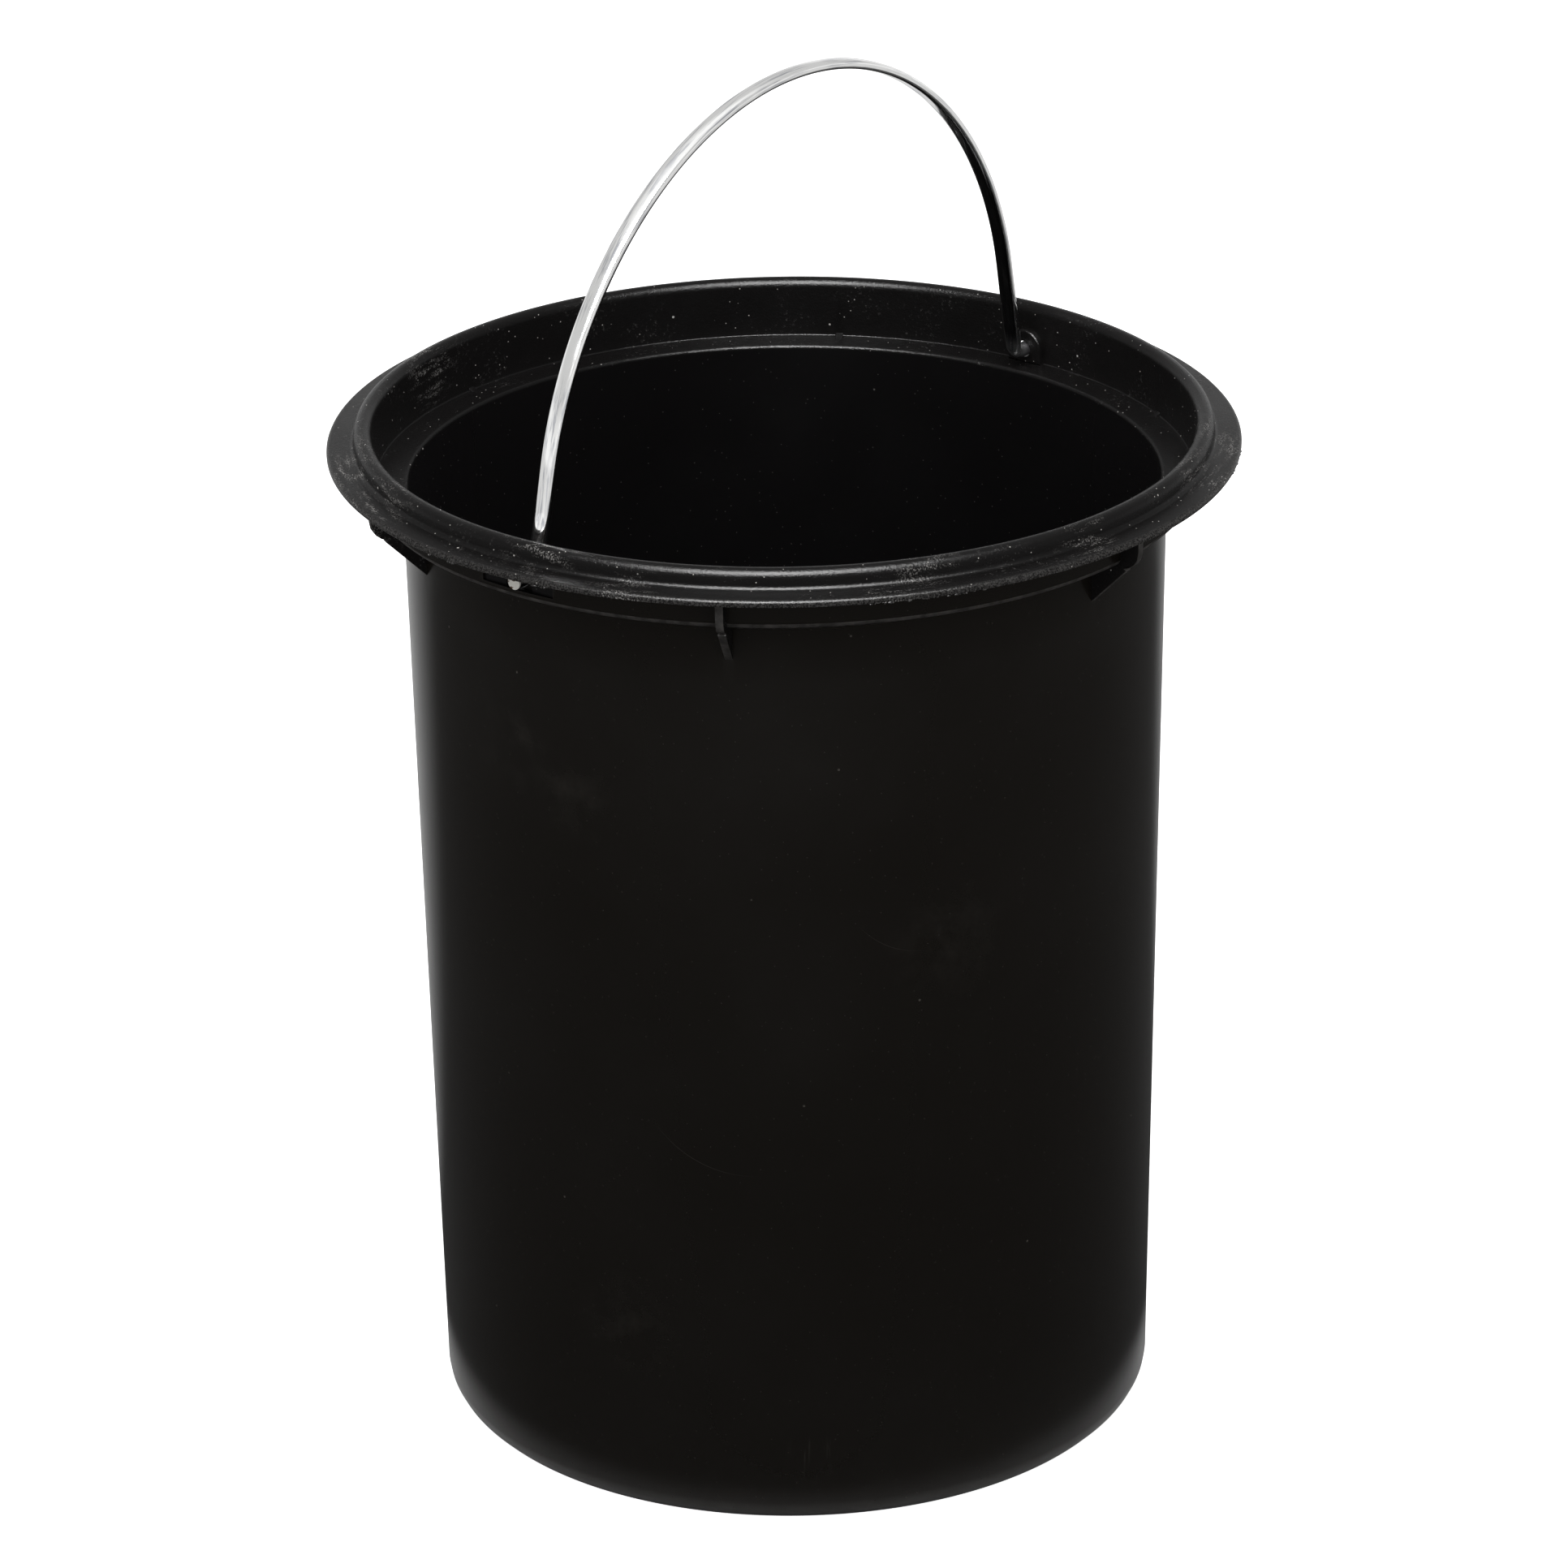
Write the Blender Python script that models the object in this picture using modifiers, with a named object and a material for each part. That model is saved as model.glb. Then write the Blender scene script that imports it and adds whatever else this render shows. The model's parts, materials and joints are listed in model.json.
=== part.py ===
# Round liner bucket with a hanging flange and a swinging wire bail.
#
# Metres, +Z up. The origin is the centre of the base, on the surface that the bucket stands on.
# The bail turns about a line along Y, through two holes in the bucket's neck.
#
# Two pieces come apart on a bench: the bucket, moulded in one shot with its rim, gussets
# and pivot bosses, and the bail, one length of wire that springs into the two holes.

import math

import bmesh
import bpy
from mathutils import Matrix, Vector

# Bucket, from the base up
BASE_RADIUS = 0.1040  # where the tapered wall would meet the floor without its corner
BODY_TOP_RADIUS = 0.1089  # the same wall at the height of the step
WALL = 0.0018
BASE_CORNER = 0.0073
FLOOR_TOP = 0.0030
FLOOR_CORNER = 0.0060
FOOT_INNER_RADIUS = 0.0890  # the base panel inside the foot ring is lifted clear
BASE_LIFT = 0.0012

# Neck and ledge, where the bucket widens for the bail to fold into
FLANGE_TOP = 0.2950
STEP_BOTTOM = 0.2827
STEP_SLOPE = 0.0040
NECK_OUTER_RADIUS = 0.1186
NECK_INNER_RADIUS = 0.1168
STEP_CORNER = 0.0014
LEDGE_OUTER = (0.1158, 0.2836)
LEDGE_INNER = (0.1083, 0.2834)
LEDGE_CORNER = 0.0012

# Rim: a round bead, and outside it a flat flange to hang the bucket by
BEAD_RADIUS = 0.0026
BEAD_CENTRE = (0.1194, 0.2981)
FLANGE_RADIUS = 0.1300
FLANGE_THICKNESS = 0.0020
EDGE_ROUND = 0.0005

# Gussets under the flange
GUSSETS = 6
GUSSET_THICKNESS = 0.0022
GUSSET_TOP_RADIUS = 0.1249
GUSSET_SHOULDER = 0.2880  # height at which its straight outer edge turns into the quarter round
GUSSET_NOTCH = (0.1196, 0.2817)
GUSSET_TAPER_TOP = (0.1204, 0.2811)
GUSSET_TAPER_BOTTOM = (0.1080, 0.2687)

# Bail pivots
PIVOT_HEIGHT = 0.2874
PIVOT_HOLE_RADIUS = 0.0025
BOSS_RADIUS = 0.0058
BOSS_FACE = 0.1146  # distance of the boss's inner face from the bucket's axis
POCKET_FLOOR = 0.1161  # bottom of the pocket that the wire's end stands in
POCKET_RADIUS = 0.0044  # round its top, so that it stays behind the boss
WINDOW_FLOOR = 0.1176  # the wide shallow recess round the pocket
WINDOW_HALF_WIDTH = 0.0124
WINDOW_BOTTOM = 0.2849
WINDOW_TOP = 0.2926

# Bail
WIRE_RADIUS = 0.0021
FLAT_WIDTH = 0.0050  # pressed section, across the bail's plane
FLAT_THICKNESS = 0.0029  # pressed section, in the bail's plane
PRESS_START = 0.0032  # height above the pivot at which the pressing begins
PRESS_FULL = 0.0095  # height from which the wire is pressed all the way
PRESS_POWER = 2.0 / 3.5  # squareness of the pressed section: 1 would leave an ellipse
LEG_POINTS = 3  # points on each straight leg between the arch and the bend
ARCH_RADIUS = 0.1066
ARCH_CENTRE_ABOVE_PIVOT = 0.0079
ARCH_HALF_ANGLE = 78.6  # the legs run straight on from here, so they flare a little
BEND_RADIUS = 0.0034
PIN_END = 0.1196  # distance of each wire end from the bucket's axis
LEAN = 1.45  # degrees from upright at which the bail stands at rest, towards +X

TURN_SEGMENTS = 72
MERGE = 0.00001


def clear_scene():
    for obj in list(bpy.data.objects):
        bpy.data.objects.remove(obj, do_unlink=True)


def new_collection(name):
    collection = bpy.data.collections.new(name)
    bpy.context.scene.collection.children.link(collection)
    return collection


def new_object(name, mesh, collection):
    obj = bpy.data.objects.new(name, mesh)
    collection.objects.link(obj)
    return obj


def material(name, colour, roughness, metallic):
    mat = bpy.data.materials.new(name)
    mat.use_nodes = True
    shader = mat.node_tree.nodes["Principled BSDF"]
    shader.inputs["Base Color"].default_value = (*colour, 1.0)
    shader.inputs["Roughness"].default_value = roughness
    shader.inputs["Metallic"].default_value = metallic
    return mat


def arc(centre, radius, start, end, steps):
    """Points on a circular arc, angles in degrees, both ends included."""
    points = []
    for i in range(steps + 1):
        angle = math.radians(start + (end - start) * i / steps)
        points.append((centre[0] + radius * math.cos(angle), centre[1] + radius * math.sin(angle)))
    return points


def wall_radius(height):
    """Outer radius of the tapered body."""
    taper = (BODY_TOP_RADIUS - BASE_RADIUS) / STEP_BOTTOM
    return BASE_RADIUS + taper * height


def inner_outline():
    """From the middle of the floor, out and up the inside to the bead."""
    draft = math.degrees(math.atan((BODY_TOP_RADIUS - BASE_RADIUS) / STEP_BOTTOM))
    corner_height = FLOOR_TOP + FLOOR_CORNER
    corner_centre = (wall_radius(corner_height) - WALL - FLOOR_CORNER, corner_height)
    points = [(0.0, FLOOR_TOP)]
    points += arc(corner_centre, FLOOR_CORNER, -90, -draft, 5)
    slope = math.atan2(LEDGE_OUTER[1] - LEDGE_INNER[1], LEDGE_OUTER[0] - LEDGE_INNER[0])
    lip_height = LEDGE_INNER[1] - LEDGE_CORNER
    lip_centre = (wall_radius(lip_height) - WALL + LEDGE_CORNER, lip_height)
    points += arc(lip_centre, LEDGE_CORNER, 180, 90 + math.degrees(slope), 4)
    points.append(LEDGE_OUTER)
    points.append((NECK_INNER_RADIUS, LEDGE_OUTER[1] + NECK_INNER_RADIUS - LEDGE_OUTER[0]))
    points += arc(BEAD_CENTRE, BEAD_RADIUS, 180, 0, 8)
    return points


def outer_outline():
    """From the bead, over the flange and down the outside to the middle of the base."""
    draft = math.degrees(math.atan((BODY_TOP_RADIUS - BASE_RADIUS) / STEP_BOTTOM))
    bead_outer = BEAD_CENTRE[0] + BEAD_RADIUS
    points = [
        (bead_outer, FLANGE_TOP + 2 * EDGE_ROUND),
        (bead_outer + EDGE_ROUND, FLANGE_TOP + EDGE_ROUND / 2),
    ]
    points += arc((FLANGE_RADIUS - EDGE_ROUND, FLANGE_TOP - EDGE_ROUND), EDGE_ROUND, 90, 0, 2)
    points.append((FLANGE_RADIUS, FLANGE_TOP - FLANGE_THICKNESS))
    points.append((NECK_OUTER_RADIUS + EDGE_ROUND, FLANGE_TOP - FLANGE_THICKNESS))
    points.append((NECK_OUTER_RADIUS, FLANGE_TOP - FLANGE_THICKNESS - EDGE_ROUND))
    points += arc((NECK_OUTER_RADIUS - STEP_CORNER, STEP_BOTTOM + STEP_CORNER), STEP_CORNER, 0, -80, 4)
    step_foot = STEP_BOTTOM - STEP_SLOPE
    points.append((wall_radius(step_foot) + STEP_CORNER, step_foot))
    points.append((wall_radius(step_foot - STEP_CORNER), step_foot - STEP_CORNER))
    corner_centre = (wall_radius(BASE_CORNER) - BASE_CORNER, BASE_CORNER)
    points += arc(corner_centre, BASE_CORNER, -draft, -90, 6)
    points.append((FOOT_INNER_RADIUS, 0.0))
    points.append((FOOT_INNER_RADIUS - BASE_LIFT, BASE_LIFT))
    points.append((0.0, BASE_LIFT))
    return points


def turned(name, outline, collection):
    """A solid of revolution: the outline is spun round Z by a Screw modifier."""
    bm = bmesh.new()
    verts = [bm.verts.new((radius, 0.0, height)) for radius, height in outline]
    for first, second in zip(verts, verts[1:]):
        bm.edges.new((first, second))
    mesh = bpy.data.meshes.new(name)
    bm.to_mesh(mesh)
    bm.free()
    obj = new_object(name, mesh, collection)
    screw = obj.modifiers.new("turn", "SCREW")
    screw.axis = "Z"
    screw.steps = TURN_SEGMENTS
    screw.render_steps = TURN_SEGMENTS
    screw.use_merge_vertices = True
    screw.merge_threshold = MERGE
    screw.use_smooth_shade = True
    return obj


def plate(outline, thickness, placements):
    """Flat plates, one at each placement, from one outline in XZ, centred on y = 0."""
    bm = bmesh.new()
    for placement in placements:
        verts = [bm.verts.new((x, -thickness / 2, z)) for x, z in outline]
        face = bm.faces.new(verts)
        grown = bmesh.ops.extrude_face_region(bm, geom=[face])["geom"]
        moved = [item for item in grown if isinstance(item, bmesh.types.BMVert)]
        bmesh.ops.translate(bm, verts=moved, vec=(0.0, thickness, 0.0))
        bmesh.ops.transform(bm, verts=verts + moved, matrix=placement)
    bmesh.ops.recalc_face_normals(bm, faces=bm.faces)
    return bm


def helper(name, bm, collection):
    """A hidden solid that a Boolean adds to the bucket or cuts from it."""
    mesh = bpy.data.meshes.new(name)
    bm.to_mesh(mesh)
    bm.free()
    obj = new_object(name, mesh, collection)
    obj.display_type = "WIRE"
    obj.hide_render = True
    return obj


def gusset_plates(collection):
    """Radial ribs that hold the flange: a quarter round, a small notch, then a 45 degree taper."""
    shoulder_radius = GUSSET_TOP_RADIUS - GUSSET_NOTCH[0]
    drop = GUSSET_SHOULDER - GUSSET_NOTCH[1]
    quarter = [
        (GUSSET_NOTCH[0] + shoulder_radius * x, GUSSET_SHOULDER - drop * z)
        for x, z in arc((0.0, 0.0), 1.0, 0, 80, 5)
    ]
    inside_wall = BODY_TOP_RADIUS - WALL / 2
    inside_neck = (NECK_OUTER_RADIUS + NECK_INNER_RADIUS) / 2
    inside_flange = FLANGE_TOP - FLANGE_THICKNESS / 2
    outline = [(inside_neck, inside_flange), (GUSSET_TOP_RADIUS, inside_flange)]
    outline += quarter
    outline += [GUSSET_NOTCH, GUSSET_TAPER_TOP, GUSSET_TAPER_BOTTOM]
    outline += [(inside_wall, STEP_BOTTOM - STEP_SLOPE), (inside_neck, STEP_BOTTOM + STEP_CORNER)]
    turns = [Matrix.Rotation(2 * math.pi * i / GUSSETS, 4, "Z") for i in range(GUSSETS)]
    return helper("gusset_plates", plate(outline, GUSSET_THICKNESS, turns), collection)


def pivot_bosses(collection):
    """Arched pads inside the neck that the wire passes through, standing on the ledge."""
    neck_middle = (NECK_OUTER_RADIUS + NECK_INNER_RADIUS) / 2
    foot = LEDGE_INNER[1]
    outline = arc((0.0, PIVOT_HEIGHT), BOSS_RADIUS, 0, 180, 12)
    outline += [(-BOSS_RADIUS, foot), (BOSS_RADIUS, foot)]
    depth = neck_middle - BOSS_FACE
    middle = (neck_middle + BOSS_FACE) / 2
    sides = [Matrix.Translation((0.0, side * middle, 0.0)) for side in (-1, 1)]
    return helper("pivot_bosses", plate(outline, depth, sides), collection)


def recess(outline, floor, name, collection):
    """A pair of recesses cut into the outside of the neck, one at each pivot."""
    outside = NECK_OUTER_RADIUS + WALL
    middle = (outside + floor) / 2
    sides = [Matrix.Translation((0.0, side * middle, 0.0)) for side in (-1, 1)]
    return helper(name, plate(outline, outside - floor, sides), collection)


def pivot_windows(collection):
    """Wide shallow recesses under the flange."""
    outline = [
        (-WINDOW_HALF_WIDTH, WINDOW_BOTTOM),
        (WINDOW_HALF_WIDTH, WINDOW_BOTTOM),
        (WINDOW_HALF_WIDTH, WINDOW_TOP),
        (-WINDOW_HALF_WIDTH, WINDOW_TOP),
    ]
    return recess(outline, WINDOW_FLOOR, "pivot_windows", collection)


def pivot_pockets(collection):
    """Deeper arched pockets in the middle of the windows, backed by the bosses."""
    outline = arc((0.0, PIVOT_HEIGHT), POCKET_RADIUS, 0, 180, 12)
    outline += [(-POCKET_RADIUS, WINDOW_BOTTOM), (POCKET_RADIUS, WINDOW_BOTTOM)]
    return recess(outline, POCKET_FLOOR, "pivot_pockets", collection)


def pivot_drill(collection):
    """One long rod that opens both pivot holes."""
    bm = bmesh.new()
    along_y = Matrix.Translation((0.0, 0.0, PIVOT_HEIGHT)) @ Matrix.Rotation(math.pi / 2, 4, "X")
    bmesh.ops.create_cone(
        bm,
        cap_ends=True,
        segments=20,
        radius1=PIVOT_HOLE_RADIUS,
        radius2=PIVOT_HOLE_RADIUS,
        depth=2 * FLANGE_RADIUS,
        matrix=along_y,
    )
    return helper("pivot_drill", bm, collection)


def combine(obj, other, operation):
    boolean = obj.modifiers.new(other.name, "BOOLEAN")
    boolean.operation = operation
    boolean.solver = "EXACT"
    boolean.object = other


def make_bucket(parts, cutters):
    bucket = turned("bucket_moulding", inner_outline() + outer_outline(), parts)
    combine(bucket, gusset_plates(cutters), "UNION")
    combine(bucket, pivot_bosses(cutters), "UNION")
    combine(bucket, pivot_windows(cutters), "DIFFERENCE")
    combine(bucket, pivot_pockets(cutters), "DIFFERENCE")
    combine(bucket, pivot_drill(cutters), "DIFFERENCE")
    bucket.data.materials.append(material("black_polypropylene", (0.012, 0.012, 0.012), 0.45, 0.0))
    return bucket


def bail_route():
    """Centre line of half the wire in its own plane, (along Y, up from the pivot), apex first."""
    centre = (0.0, ARCH_CENTRE_ABOVE_PIVOT)
    route = arc(centre, ARCH_RADIUS, 90, 90 - ARCH_HALF_ANGLE, 18)
    leg_lean = math.radians(90 - ARCH_HALF_ANGLE)
    turn = math.pi / 2 - leg_lean
    reach = BEND_RADIUS * math.tan(turn / 2)  # from the bend's corner to where it starts
    last = route[-1]
    corner_y = last[0] + last[1] * math.tan(leg_lean)
    bend_start = (corner_y - reach * math.sin(leg_lean), reach * math.cos(leg_lean))
    for i in range(1, LEG_POINTS + 1):
        spot = Vector(last).lerp(Vector(bend_start), i / (LEG_POINTS + 1))
        route.append((spot.x, spot.y))
    bend_centre = (corner_y + reach, BEND_RADIUS)
    route += arc(bend_centre, BEND_RADIUS, 180 + math.degrees(leg_lean), 270, 5)
    route.append((PIN_END, 0.0))
    return route


def wire_mesh(name, route):
    """A round wire along the route, as a mesh with welded caps."""
    curve = bpy.data.curves.new(name, "CURVE")
    curve.dimensions = "3D"
    curve.bevel_depth = WIRE_RADIUS
    curve.bevel_resolution = 4
    curve.use_fill_caps = True
    spline = curve.splines.new("POLY")
    spline.points.add(len(route) - 1)
    for spot, (y, z) in zip(spline.points, route):
        spot.co = (0.0, y, z, 1.0)
    guide = bpy.data.objects.new(name + "_guide", curve)
    bpy.context.scene.collection.objects.link(guide)
    graph = bpy.context.evaluated_depsgraph_get()
    mesh = bpy.data.meshes.new_from_object(guide.evaluated_get(graph))
    bpy.data.objects.remove(guide, do_unlink=True)
    return mesh


def nearest_on_route(y, z, route):
    """Closest point of the route, and the way outwards from the bail there."""
    best = None
    for (y0, z0), (y1, z1) in zip(route, route[1:]):
        run = Vector((y1 - y0, z1 - z0))
        share = max(0.0, min(1.0, (Vector((y - y0, z - z0)) @ run) / run.length_squared))
        spot = Vector((y0, z0)) + run * share
        gap = (Vector((y, z)) - spot).length
        if best is None or gap < best[0]:
            best = (gap, spot, Vector((-run.y, run.x)).normalized())
    return best[1], best[2]


def press_flat(mesh, route):
    """Presses the arch and legs between flat dies: wider across the bail's plane, thinner in it."""
    bm = bmesh.new()
    bm.from_mesh(mesh)
    bmesh.ops.remove_doubles(bm, verts=bm.verts, dist=MERGE)
    for vert in bm.verts:
        spot, outward = nearest_on_route(vert.co.y, vert.co.z, route)
        amount = max(0.0, min(1.0, (spot.y - PRESS_START) / (PRESS_FULL - PRESS_START)))
        along = (Vector((vert.co.y, vert.co.z)) - spot) @ outward
        across = vert.co.x
        size = math.hypot(along, across)
        if amount == 0.0 or size < MERGE:
            continue
        cos, sin = across / size, along / size
        flat_across = math.copysign(abs(cos) ** PRESS_POWER, cos) * FLAT_WIDTH / 2
        flat_along = math.copysign(abs(sin) ** PRESS_POWER, sin) * FLAT_THICKNESS / 2
        vert.co.x = across + (flat_across - across) * amount
        place = spot + outward * (along + (flat_along - along) * amount)
        vert.co.y, vert.co.z = place.x, place.y
    bmesh.ops.recalc_face_normals(bm, faces=bm.faces)
    bm.to_mesh(mesh)
    bm.free()


def make_bail(parts):
    """The wire, its origin on the pivot axis, leaning by its rest angle."""
    half = bail_route()
    route = [(-y, z) for y, z in reversed(half)] + half[1:]
    mesh = wire_mesh("wire_bail", route)
    press_flat(mesh, route)
    mesh.shade_smooth()
    mesh.set_sharp_from_angle(angle=math.radians(50))
    bail = new_object("wire_bail", mesh, parts)
    bail.location = (0.0, 0.0, PIVOT_HEIGHT)
    bail.rotation_euler = (0.0, math.radians(LEAN), 0.0)
    mesh.materials.append(material("bright_wire", (0.80, 0.80, 0.79), 0.08, 1.0))
    return bail


def main():
    clear_scene()
    parts = new_collection("liner_bucket")
    cutters = new_collection("cutters")
    cutters.hide_render = True
    make_bucket(parts, cutters)
    make_bail(parts)


main()
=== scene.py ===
import json
import math
import random

import bmesh
import bpy
from mathutils import Matrix, Vector, noise


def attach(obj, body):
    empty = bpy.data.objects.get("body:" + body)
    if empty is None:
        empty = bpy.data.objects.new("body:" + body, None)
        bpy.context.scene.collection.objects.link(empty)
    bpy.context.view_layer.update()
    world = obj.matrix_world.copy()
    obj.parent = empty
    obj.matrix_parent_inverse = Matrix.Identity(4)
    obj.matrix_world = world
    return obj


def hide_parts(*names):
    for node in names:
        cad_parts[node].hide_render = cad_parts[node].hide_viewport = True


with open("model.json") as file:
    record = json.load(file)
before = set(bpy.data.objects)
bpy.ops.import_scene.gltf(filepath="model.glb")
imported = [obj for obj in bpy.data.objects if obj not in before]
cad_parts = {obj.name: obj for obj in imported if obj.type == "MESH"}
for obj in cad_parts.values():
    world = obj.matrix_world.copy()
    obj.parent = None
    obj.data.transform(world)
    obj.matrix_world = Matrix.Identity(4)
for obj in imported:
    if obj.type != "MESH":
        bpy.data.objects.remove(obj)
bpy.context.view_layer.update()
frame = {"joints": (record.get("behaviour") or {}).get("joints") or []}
pivot = Vector(frame["joints"][0]["pos_m"])
print("packed frame loaded")

mm = 0.001


def newPiece(name, bm, materials, body):
    mesh = bpy.data.meshes.new(name)
    bm.to_mesh(mesh)
    bm.free()
    for mat in materials:
        mesh.materials.append(mat)
    piece = bpy.data.objects.new(name, mesh)
    bpy.context.scene.collection.objects.link(piece)
    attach(piece, body)
    return piece


def roundedOutline(bm, corners, segments):
    # corners are (out, up, how far along each edge the rounding starts), in mm, drawn in XZ
    verts = [bm.verts.new((x * mm, 0, z * mm)) for x, z, cut in corners]
    for first, second in zip(verts, verts[1:]):
        bm.edges.new((first, second))
    for vert, (x, z, cut) in zip(verts, corners):
        if cut:
            bmesh.ops.bevel(bm, geom=[vert], offset=cut * mm, offset_type="OFFSET",
                            segments=segments, profile=0.5, affect="VERTICES", material=-1)


def cutOrJoin(piece, tool, operation):
    modifier = piece.modifiers.new(tool.name, "BOOLEAN")
    modifier.operation = operation
    modifier.solver = "EXACT"
    modifier.object = tool


def applyAll(piece):
    graph = bpy.context.evaluated_depsgraph_get()
    old = piece.data
    piece.data = bpy.data.meshes.new_from_object(piece.evaluated_get(graph))
    piece.modifiers.clear()
    piece.data.name = piece.name
    bpy.data.meshes.remove(old)


def toolObject(name, bm):
    bmesh.ops.recalc_face_normals(bm, faces=bm.faces)
    mesh = bpy.data.meshes.new(name)
    bm.to_mesh(mesh)
    bm.free()
    obj = bpy.data.objects.new(name, mesh)
    bpy.context.scene.collection.objects.link(obj)
    return obj


def newMaterial(name, colour, **sockets):
    mat = bpy.data.materials.new(name)
    mat.use_nodes = True
    mat.diffuse_color = (*colour, 1)
    shader = mat.node_tree.nodes["Principled BSDF"]
    shader.inputs["Base Color"].default_value = (*colour, 1)
    for socket, value in sockets.items():
        shader.inputs[socket.replace("_", " ")].default_value = value
    return mat, mat.node_tree, shader


def addNode(tree, kind, **values):
    node = tree.nodes.new(kind)
    for key, value in values.items():
        if hasattr(node, key):
            setattr(node, key, value)
        else:
            node.inputs[key.replace("_", " ")].default_value = value
    return node


def objectPlace(tree, scale=(1, 1, 1)):
    coords = addNode(tree, "ShaderNodeTexCoord")
    mapping = addNode(tree, "ShaderNodeMapping")
    mapping.inputs["Scale"].default_value = scale
    tree.links.new(coords.outputs["Object"], mapping.inputs["Vector"])
    return mapping.outputs["Vector"]


def outFromAxis(tree):
    node = addNode(tree, "ShaderNodeVectorMath", operation="LENGTH")
    tree.links.new(objectPlace(tree, scale=(1, 1, 0)), node.inputs[0])
    return node.outputs["Value"]


def roundTheRim(tree, stretch):
    # a place laid out round the rim, so that marks are longer along it by the given stretch
    split = addNode(tree, "ShaderNodeSeparateXYZ")
    tree.links.new(objectPlace(tree), split.inputs[0])
    laid = addNode(tree, "ShaderNodeCombineXYZ")
    tree.links.new(outFromAxis(tree), laid.inputs["X"])
    tree.links.new(split.outputs["Z"], laid.inputs["Y"])
    angle = maths(tree, "ARCTAN2", split.outputs["Y"], split.outputs["X"])
    along = maths(tree, "MULTIPLY", angle, bucket["flangeOut"] * mm / stretch)
    tree.links.new(along, laid.inputs["Z"])
    return laid.outputs[0]


def noiseAt(tree, place, scale, detail=3.0, rough=0.55):
    node = addNode(tree, "ShaderNodeTexNoise", Scale=scale, Detail=detail, Roughness=rough)
    tree.links.new(place, node.inputs["Vector"])
    return node.outputs["Fac"]


def ramp(tree, value, low, high, fromValue=0.0, toValue=1.0):
    node = addNode(tree, "ShaderNodeMapRange")
    node.inputs["From Min"].default_value = low
    node.inputs["From Max"].default_value = high
    node.inputs["To Min"].default_value = fromValue
    node.inputs["To Max"].default_value = toValue
    tree.links.new(value, node.inputs["Value"])
    return node.outputs["Result"]


def maths(tree, operation, first, second):
    node = addNode(tree, "ShaderNodeMath", operation=operation)
    for socket, value in zip(node.inputs, (first, second)):
        if isinstance(value, (int, float)):
            socket.default_value = value
        else:
            tree.links.new(value, socket)
    return node.outputs[0]


def mixColour(tree, amount, under, over):
    node = addNode(tree, "ShaderNodeMix", data_type="RGBA")
    tree.links.new(amount, node.inputs["Factor"])
    for socket, value in ((node.inputs[6], under), (node.inputs[7], over)):
        if isinstance(value, tuple):
            socket.default_value = (*value, 1)
        else:
            tree.links.new(value, socket)
    return node.outputs[2]


def spotAt(tree, place, centre, reach):
    # 1 at a place on the object, fading to 0 at the given reach, both in mm
    node = addNode(tree, "ShaderNodeVectorMath", operation="DISTANCE")
    tree.links.new(place, node.inputs[0])
    node.inputs[1].default_value = [value * mm for value in centre]
    return ramp(tree, node.outputs["Value"], 0.2 * reach * mm, reach * mm, 1.0, 0.0)


def sumOf(tree, values):
    total = values[0]
    for value in values[1:]:
        total = maths(tree, "MAXIMUM", total, value)
    return total


def specksAt(tree, place, spacing, size, share):
    # scattered dots: a share of the cells, spacing mm apart, hold a dot of this radius in mm
    cells = addNode(tree, "ShaderNodeTexVoronoi", Scale=1 / (spacing * mm))
    tree.links.new(place, cells.inputs["Vector"])
    chosen = addNode(tree, "ShaderNodeSeparateColor")
    tree.links.new(cells.outputs["Color"], chosen.inputs[0])
    dot = ramp(tree, cells.outputs["Distance"], 0.6 * size / spacing, size / spacing, 1.0, 0.0)
    return maths(tree, "MULTIPLY", dot, maths(tree, "LESS_THAN", chosen.outputs[0], share))


def arcScratch(tree, place, centre, radius, width, middle, reach):
    # a thin line on a circle round the centre, kept near its middle
    node = addNode(tree, "ShaderNodeVectorMath", operation="DISTANCE")
    tree.links.new(place, node.inputs[0])
    node.inputs[1].default_value = [value * mm for value in centre]
    off = maths(tree, "ABSOLUTE", maths(tree, "SUBTRACT", node.outputs["Value"], radius * mm), 0)
    return maths(tree, "MULTIPLY", ramp(tree, off, 0.3 * width * mm, width * mm, 1.0, 0.0),
                 spotAt(tree, place, middle, reach))


def bumpFrom(tree, height, strength, distance, under=None):
    node = addNode(tree, "ShaderNodeBump", Strength=strength, Distance=distance)
    tree.links.new(height, node.inputs["Height"])
    if under is not None:
        tree.links.new(under, node.inputs["Normal"])
    return node.outputs["Normal"]


wallLook = {
    "colour": (0.0099, 0.0083, 0.0066),
    "dust": (0.08, 0.073, 0.064),
    "smooth": 0.17,
    "dull": 0.25,
    "specular": 0.28,
    "cloud": 14,             # noise scales, the larger the finer
    "film": 95,
    "rub": 900,
    "grain": 900,
    "filmAmount": 0.16,
    "rubAmount": 0.3,
    "lineAmount": 0.3,
    "fineAmount": 0.45,
    "fine": (2.4, 0.2, 0.8),      # dust dots: spacing, radius and share of cells
    "bits": (11.0, 0.42, 0.35),
    "dusty": (               # where the dust lies, and how far it reaches, in mm
        ((-10, -107.6, 233), 22), ((8, -107.7, 222), 16), ((95, -50, 180), 20), ((20, -103, 60), 18),
    ),
    "rubbed": ((68.6, -78.7, 24), 9),
    "scratches": (           # centre, radius and width of the circle, then the middle and the reach
        ((60, -97, 148), 37, 0.13, (42, -97, 116), 17),
        ((100, -60, 205), 28, 0.1, (84, -63, 182), 12),
    ),
}


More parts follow.
